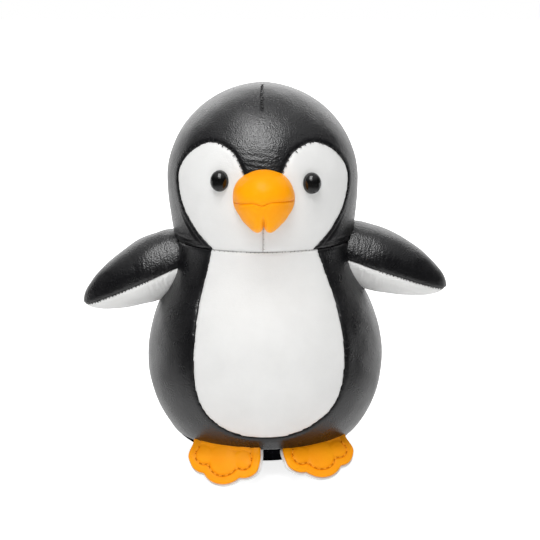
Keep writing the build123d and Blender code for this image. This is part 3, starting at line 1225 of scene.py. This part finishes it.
def on_surface(xz):
    """Lift an outline of (x, z) points on to the front of the toy."""
    out = []
    for x, z in xz:
        r = outside_radius(z)
        if abs(x) < r:
            out.append((x, -math.sqrt(r * r - x * x), z))
    return out


NECK_STITCH_ANGLE = 33    # degrees to each side of the front
CENTRE_STITCHES_TOP_Z = 92.0
KNOT_UP = (0, -0.6, 0.8)
# (start, end, radius, arch) of the two loops of the knot, from the end of the dart
KNOT_LOOPS = [((-0.4, 0, 0.0), (0.5, -0.1, -0.1), 0.42, 0.1), ((0.0, 0.3, 0.3), (0.1, -0.4, -0.5), 0.38, 0.1)]


def build_seam_stitches(head, body):
    """The threads that show on the head and body, and the knot at the end of the dart."""
    for side, sign in SIDES.items():
        outline = smooth_line([(sign * x, z) for x, z in FACE_OUTLINE])
        stitches_across(f"face_{side}_seam_stitches", on_surface(outline), head, "torso", BLACK_THREAD,
                        seed=3 + sign)
    neck_r = outside_radius(NECK_Z)
    neck = [(neck_r * math.sin(a), -neck_r * math.cos(a), NECK_Z)
            for a in np.radians(np.linspace(-NECK_STITCH_ANGLE, NECK_STITCH_ANGLE, 60))]
    centre = on_surface([(0.0, z) for z in np.linspace(NECK_Z + 0.5, CENTRE_STITCHES_TOP_Z, 20)])
    dart = [tuple(p) for p in dart_line()]
    # name, line, mesh, look, pitch, length, radius, seed
    rows = [
        ("belly_seam", on_surface(smooth_line(BELLY_OUTLINE)), body, BLACK_THREAD, 2.3, 1.0, 0.14, 7),
        ("neck_seam", neck, head, GREY_THREAD, 1.6, 0.8, 0.1, 11),
        ("face_centre", centre, head, GREY_THREAD, 1.7, 0.6, 0.08, 13),
        ("crown_dart", dart, head, BLACK_THREAD, 1.3, 0.8, 0.2, 9),
    ]
    for name, line, mesh, look, *sizes in rows:
        stitches_across(name + "_stitches", line, mesh, "torso", look, *sizes)
    end = np.array(dart[-1])
    knot = [capsule(end + start, end + stop, KNOT_UP, radius, arch)
            for start, stop, radius, arch in KNOT_LOOPS]
    add_piece("crown_dart_end_knot", *merged(knot), "torso", BLACK_THREAD)


# share of a stitch's pitch at which its thread starts, ends and has its middle
THREAD_PARTS = (0.14, 0.86, 0.5)
STITCH_SUNK = 0.12
# (radius, arch) of a topstitch
TOPSTITCH = (0.22, 0.14)
# size and lift of the dark marks of painted shade at the needle holes
HOLE_RADIUS = 0.27
HOLE_HALF_LENGTH = 0.32
HOLE_LIFT = 0.02


def build_foot_stitches(side):
    """The row of topstitches through both plies, and dark marks of painted shade for the needle holes at
    their ends.
    """
    place = foot_placer(side)
    angles = np.linspace(0, 2 * math.pi, 900, endpoint=False) - math.pi / 2
    line = np.array([foot_point(a, foot_reach(a, STITCH_INSET, toe_distance)) for a in angles])
    line = line[line[:, 1] > STITCHES_START]
    steps = lengths_along(line)
    count = int(steps[-1] / STITCH_PITCH)
    level = FOOT_PLY - STITCH_SUNK
    threads, hole_shades = [], []
    for i in range(count):
        ends = []
        for part in THREAD_PARTS:
            u, w = (np.interp(steps[-1] * (i + part) / count, steps, line[:, k]) for k in (0, 1))
            ends.append((u, w, level + foot_lift(u, w, side)))
        um, wm, hm = ends.pop()
        a, b = (place(*end) for end in ends)
        up = place(um, wm, hm + 1) - place(um, wm, hm)
        threads.append(capsule(a, b, up, *TOPSTITCH))
        half = (b - a) / np.linalg.norm(b - a) * HOLE_HALF_LENGTH
        for u, w, h in ends:
            c = place(u, w, h + HOLE_LIFT)
            hole_shades.append(capsule(c - half, c + half, up, HOLE_RADIUS, 0.0))
    name = f"foot_{side}"
    for obj in (add_piece(name + "_topstitches", *merged(threads), None, ORANGE_THREAD, name + "_stitching"),
                add_piece(name + "_needle_hole_shades", *merged(hole_shades), None, HOLE_SHADE)):
        bend_foot(obj, side)


def build_feet():
    """Two plies and a row of stitches for each foot."""
    for side in SIDES:
        build_ply(side, "top", 0.0, 0.0, FOOT_ORANGE, STITCH_DIMPLE)
        build_ply(side, "sole", -FOOT_PLY, FOOT_SOLE_MARGIN, WHITE, 0.0)
        build_foot_stitches(side)


# ---- beak and eyes

BEAK_MIDDLE = np.array([0.25, -31.5, 102.4])
BEAK_FORWARD = 13.2
BEAK_TOP = 9.9
BEAK_SIDE = 10.8
# (angle in degrees from straight down, reach) of the lower beak's outline, half of it
BEAK_LOWER = [
    (0, 11.3), (4, 11.9), (10, 12.3), (19, 12.2),
    (34, 11.2), (54, 10.6), (74, 10.7), (90, 10.8),
]


BEAK_CURVE = 2.1
BEAK_SPOKES = 160
BEAK_RINGS = 60
BEAK_WRAP = math.radians(104)    # the skin runs on this far round from the tip
BEAK_ROUNDNESS = 0.92
BEAK_BEHIND = 0.5    # how deep it is behind its widest part, as a share of the front
LOWER_RECESS = 0.16
UPPER_CROWN = 0.05
MOUTH_ROLL = (1.5, 0.6)
# (size, height) of its unevenness
BEAK_LUMPS = (4.5, 0.16)
BEAK_SMALL_LUMPS = (1.8, 0.05)
BEAK_CORE = (8.2, 8.5, 8.2)
BEAK_CORE_SHIFT = (0, -1.5, 0)
# the groove under the mouth, between the two rounded ends of the lower beak
GROOVE_DEPTH = 1.1
GROOVE_HALF_WIDTH = 0.34
GROOVE_STEEPNESS = 1.3
GROOVE_TOP_Z = 97.0
GROOVE_FULL_Z = 94.0
# (distance from the groove, width) and height of the rounded ends
BEAK_ENDS = (2.4, 1.5)
BEAK_ENDS_HEIGHT = 0.3
MOUTH_FRONT_Y = -34.0    # the skins are sewn together only in front of this


def beak_reach(angle):
    """Reach of the beak's outline in the front view; angle 0 points to +X and 90 up."""
    if math.sin(angle) >= 0:
        c, s = abs(math.cos(angle)), math.sin(angle)
        return 1 / ((c / BEAK_SIDE) ** BEAK_CURVE + (s / BEAK_TOP) ** BEAK_CURVE) ** (1 / BEAK_CURVE)
    from_down = abs((math.degrees(angle) + 90 + 180) % 360 - 180)
    return float(np.interp(from_down, *zip(*BEAK_LOWER)))


MOUTH_Z = -1.15    # below the middle of the beak
MOUTH_TILT = 0.05
MOUTH_ARCH = 0.9
MOUTH_DIP = 1.1
MOUTH_DIP_X = -0.5
MOUTH_DIP_HALF_WIDTH = 3.4


def mouth_field(p):
    """Height above the mouth line, which dips at the tip and rises towards one cheek."""
    rel = p - BEAK_MIDDLE
    x = rel[:, 0]
    dip = MOUTH_DIP * np.clip(1 - np.abs(x - MOUTH_DIP_X) / MOUTH_DIP_HALF_WIDTH, 0, 1)
    return rel[:, 2] - (MOUTH_Z + MOUTH_TILT * x + MOUTH_ARCH * (1 - (x / BEAK_SIDE) ** 2) - dip)


def build_beak():
    """The two leather halves of the beak, rolled in at the mouth, and their filling."""
    points = []
    for i in range(1, BEAK_RINGS + 1):
        t = i / BEAK_RINGS * BEAK_WRAP
        depth = math.cos(t)
        for j in range(BEAK_SPOKES):
            a = 2 * math.pi * j / BEAK_SPOKES
            radial = beak_reach(a) * math.sin(min(t, math.pi / 2)) ** BEAK_ROUNDNESS
            upper = max(math.sin(a), 0)
            lower = max(-math.sin(a), 0)
            forward = BEAK_FORWARD * (depth if depth > 0 else depth * BEAK_BEHIND)
            forward *= 1 - LOWER_RECESS * lower * math.sin(t) + UPPER_CROWN * upper * math.sin(2 * t)
            points.append(BEAK_MIDDLE + np.array([radial * math.cos(a), -forward, radial * math.sin(a)]))
    points.append(BEAK_MIDDLE + np.array([0, -BEAK_FORWARD, 0]))
    tip = len(points) - 1
    faces = [[tip, j, (j + 1) % BEAK_SPOKES] for j in range(BEAK_SPOKES)]
    bm = new_bmesh(points, faces + bands(BEAK_RINGS, BEAK_SPOKES, turned=True))
    bmesh.ops.recalc_face_normals(bm, faces=list(bm.faces))
    if bm.faces[0].normal.y > 0:
        bmesh.ops.reverse_faces(bm, faces=list(bm.faces))
    cut_along(bm, mouth_field)
    names = ["scrap", "upper", "lower"]
    layer = assign_panels(bm, lambda p: ["upper" if f > 0 else "lower" for f in mouth_field(p)], names)
    bm.normal_update()
    tree = tree_of([p for p in seam_samples(bm, layer) if p.y < MOUTH_FRONT_Y])
    moves = []
    for v in bm.verts:
        across = abs(v.co.x - BEAK_MIDDLE[0])
        below = part_way(v.co.z, GROOVE_TOP_Z, GROOVE_FULL_Z)
        drop = roll(tree.find(v.co)[2], *MOUTH_ROLL)
        drop += GROOVE_DEPTH * below * math.exp(-(across / GROOVE_HALF_WIDTH) ** GROOVE_STEEPNESS)
        drop -= BEAK_ENDS_HEIGHT * below * bell(across, *BEAK_ENDS)
        soft = bumps(v.co, BEAK_LUMPS) + bumps(v.co, BEAK_SMALL_LUMPS)
        moves.append(v.normal * (soft - drop))
    for v, m in zip(bm.verts, moves):
        v.co += m
    bm.normal_update()
    for number, key in enumerate(names[1:], 1):
        add_skin(bm, number, f"beak_{key}_panel", "torso", ORANGE)
    bm.free()
    core, quads = cube_ball(12)
    core = BEAK_MIDDLE + BEAK_CORE_SHIFT + core * BEAK_CORE
    add_piece("beak_filling", core, quads, "torso", FILLING, "beak_stuffing")


EYE_PLACE = {"left": (16.8, 107.1), "right": (-14.9, 108.0)}
EYE_RADIUS = 3.75
EYE_WIDTH_RATIO = 0.88
EYE_HEIGHT = 3.2
EYE_RIM = 0.25
EYE_AROUND = 96
# (share of the radius, height) of the rim, up to where the dome starts
EYE_RIM_LINE = [(0.9, -1.0), (0.97, -0.6), (1.0, 0.0), (0.995, EYE_RIM)]
EYE_DOME_SHARE = 0.98


def build_eye(side):
    """A polished dome with a thin rim that presses a little into the leather."""
    x, z = EYE_PLACE[side]
    up = z - HEAD_MIDDLE_Z
    y = -math.sqrt(HEAD_RADIUS ** 2 - x * x - up * up)
    normal = np.array([x, y, up]) / HEAD_RADIUS
    across = np.array([-y, x, 0]) / math.hypot(x, y)
    high = np.cross(normal, across)
    centre = np.array([x, y, z])
    outline = [(EYE_RADIUS * share, h) for share, h in EYE_RIM_LINE]
    for a in np.linspace(0.08, math.pi / 2, 26)[:-1]:
        rise = EYE_RIM + (EYE_HEIGHT - EYE_RIM) * math.sin(a)
        outline.append((EYE_RADIUS * EYE_DOME_SHARE * math.cos(a), rise))
    points = []
    for r, h in outline:
        for j in range(EYE_AROUND):
            a = 2 * math.pi * j / EYE_AROUND
            points.append(centre + across * r * EYE_WIDTH_RATIO * math.cos(a) + high * r * math.sin(a)
                          + normal * h)
    last = len(points) - EYE_AROUND
    points.append(centre + normal * EYE_HEIGHT)
    faces = bands(len(outline), EYE_AROUND)
    for j in range(EYE_AROUND):
        faces.append([last + j, last + (j + 1) % EYE_AROUND, len(points) - 1])
    faces.append(list(range(EYE_AROUND))[::-1])
    add_piece(f"eye_{side}_dome", points, faces, "torso", EYE, f"eye_{side}")


# ---- scene

WORLD_LIGHT = 0.32
FLOOR_SEEN_EXTRA = 0.55    # keeps the floor white in the picture, without lighting the toy
# (share of the way from straight in front to straight behind, brightness) of the mirrored room
ROOM_BRIGHTNESS = [(0.0, 0.015), (0.42, 0.03), (0.65, 0.65), (0.85, 1.0)]
ROOM_STRENGTH = 1.4
CEILING_BRIGHTNESS = 0.5
FLOOR_HALF_WIDTH = 4.0
FLOOR_BELOW = 0.0001
FLOOR_GLOW = (0.27, 0.8)    # near the toy, and far from it
# (near, far) distance and (near, far) brightness of the floor as the leather mirrors it
FLOOR_FADE = ((0.06, 0.26), (0.95, 0.08))
# (distance behind the toy) and brightness of the floor there, also as mirrored
FLOOR_BEHIND = ((-0.03, 0.12), (0.0, 1.1))
LIGHT_TARGET = Vector((0, 0, 0.08))
# name, place, width, depth, power in watts
LIGHTS = [
    ("key_softbox", (-0.07, -0.34, 0.70), 0.36, 0.5, 3.8),
    ("fill_strip", (-0.05, -0.52, 0.47), 0.3, 0.2, 0.3),
    ("back_softbox", (0.0, 0.62, 0.52), 1.1, 0.45, 1.6),
]


def build_lights():
    for name, place, width, depth, power in LIGHTS:
        data = bpy.data.lights.new(name, "AREA")
        data.energy = power
        data.shape = "RECTANGLE"
        data.size = width
        data.size_y = depth
        light = in_scene(name, data)
        light.location = place
        light.rotation_euler = (LIGHT_TARGET - Vector(place)).to_track_quat("-Z", "Y").to_euler()


def build_floor():
    """A plain pale floor that runs into the background; only its near part shows in the leather."""
    mesh = bpy.data.meshes.new("floor")
    r = FLOOR_HALF_WIDTH
    mesh.from_pydata([(-r, -r, 0), (r, -r, 0), (r, r, 0), (-r, r, 0)], [], [(0, 1, 2, 3)])
    floor = in_scene("floor", mesh)
    floor.location.z = -FLOOR_BELOW
    material = bpy.data.materials.new("floor")
    material.use_nodes = True
    tree = material.node_tree
    link = tree.links.new
    shader = tree.nodes["Principled BSDF"]
    shader.inputs["Base Color"].default_value = (0.92, 0.92, 0.92, 1)
    shader.inputs["Roughness"].default_value = 0.8
    shader.inputs["Specular IOR Level"].default_value = 0.1
    shader.inputs["Emission Color"].default_value = (1, 1, 1, 1)
    where = node(tree, "TexCoord").outputs["Object"]
    far = fed(tree, "VectorMath", where, operation="LENGTH").outputs["Value"]
    rays = node(tree, "LightPath").outputs
    glow = spread(tree, far, FLOOR_GLOW, (0.08, 1.0), "SMOOTHSTEP")
    seen = fed(tree, "Math", rays["Is Camera Ray"], FLOOR_SEEN_EXTRA, glow, operation="MULTIPLY_ADD")
    link(seen.outputs[0], shader.inputs["Emission Strength"])
    near = spread(tree, far, FLOOR_FADE[1], FLOOR_FADE[0], "SMOOTHSTEP")
    backwards = fed(tree, "SeparateXYZ", where).outputs["Y"]
    behind = spread(tree, backwards, FLOOR_BEHIND[1], FLOOR_BEHIND[0])
    brighter = fed(tree, "Math", near, behind, operation="MAXIMUM").outputs[0]
    mirrored = node(tree, "Emission")
    link(brighter, mirrored.inputs["Strength"])
    mix = fed(tree, "MixShader", rays["Is Glossy Ray"], shader.outputs[0], mirrored.outputs[0])
    link(mix.outputs[0], tree.nodes["Material Output"].inputs["Surface"])
    mesh.materials.append(material)


def build_world():
    """Even light, and for reflections a white room that is dim behind the photographer."""
    scene = bpy.context.scene
    scene.view_settings.view_transform = "Standard"
    world = bpy.data.worlds.new("studio")
    world.use_nodes = True
    scene.world = world
    tree = world.node_tree
    white = (1, 1, 1, 1)
    even = fed(tree, "Background", white, WORLD_LIGHT).outputs[0]
    seen = fed(tree, "Background", white, 1.0).outputs[0]
    direction = node(tree, "TexCoord").outputs["Generated"]
    parts = fed(tree, "SeparateXYZ", direction).outputs
    room = ramp(tree, parts["Y"], [(share, (b, b, b)) for share, b in ROOM_BRIGHTNESS])
    ceiling = spread(tree, parts["Z"], (0.0, CEILING_BRIGHTNESS), (0.35, 0.9))
    brighter = fed(tree, "VectorMath", room, ceiling, operation="MAXIMUM").outputs[0]
    mirrored = fed(tree, "Background", brighter, ROOM_STRENGTH).outputs[0]
    rays = node(tree, "LightPath").outputs
    mix = fed(tree, "MixShader", rays["Is Glossy Ray"], even, mirrored).outputs[0]
    mix = fed(tree, "MixShader", rays["Is Camera Ray"], mix, seen).outputs[0]
    tree.links.new(mix, tree.nodes["World Output"].inputs["Surface"])


CAMERA_ELEVATION = math.radians(11.0)
CAMERA_DISTANCE = 0.6
CAMERA_SIDEWAYS = 0.0024
CAMERA_AIM_Z = 0.0707
CAMERA_LENS = 109.0


def build_camera():
    """A long lens a little above the level of the toy, as in the photograph."""
    data = bpy.data.cameras.new("camera")
    data.sensor_width = 36.0
    data.lens = CAMERA_LENS
    camera = in_scene("camera", data)
    camera.location = (CAMERA_SIDEWAYS, -CAMERA_DISTANCE * math.cos(CAMERA_ELEVATION),
                       CAMERA_AIM_Z + CAMERA_DISTANCE * math.sin(CAMERA_ELEVATION))
    camera.rotation_euler = (math.pi / 2 - CAMERA_ELEVATION, 0, 0)
    bpy.context.scene.camera = camera


build_camera()
build_floor()
build_world()
build_lights()
head_mesh = build_head()
body_mesh = build_body()
build_filling("head_filling", head_profile(), "head_stuffing")
build_filling("body_filling", BODY_PROFILE, "body_stuffing")
build_beak()
for side in SIDES:
    build_eye(side)
    build_flipper(side)
    washer = frame["nodes"][f"eye_washer_{side}"]
    washer.data.materials.clear()
    washer.data.materials.append(WASHER)
build_feet()
build_seam_stitches(head_mesh, body_mesh)
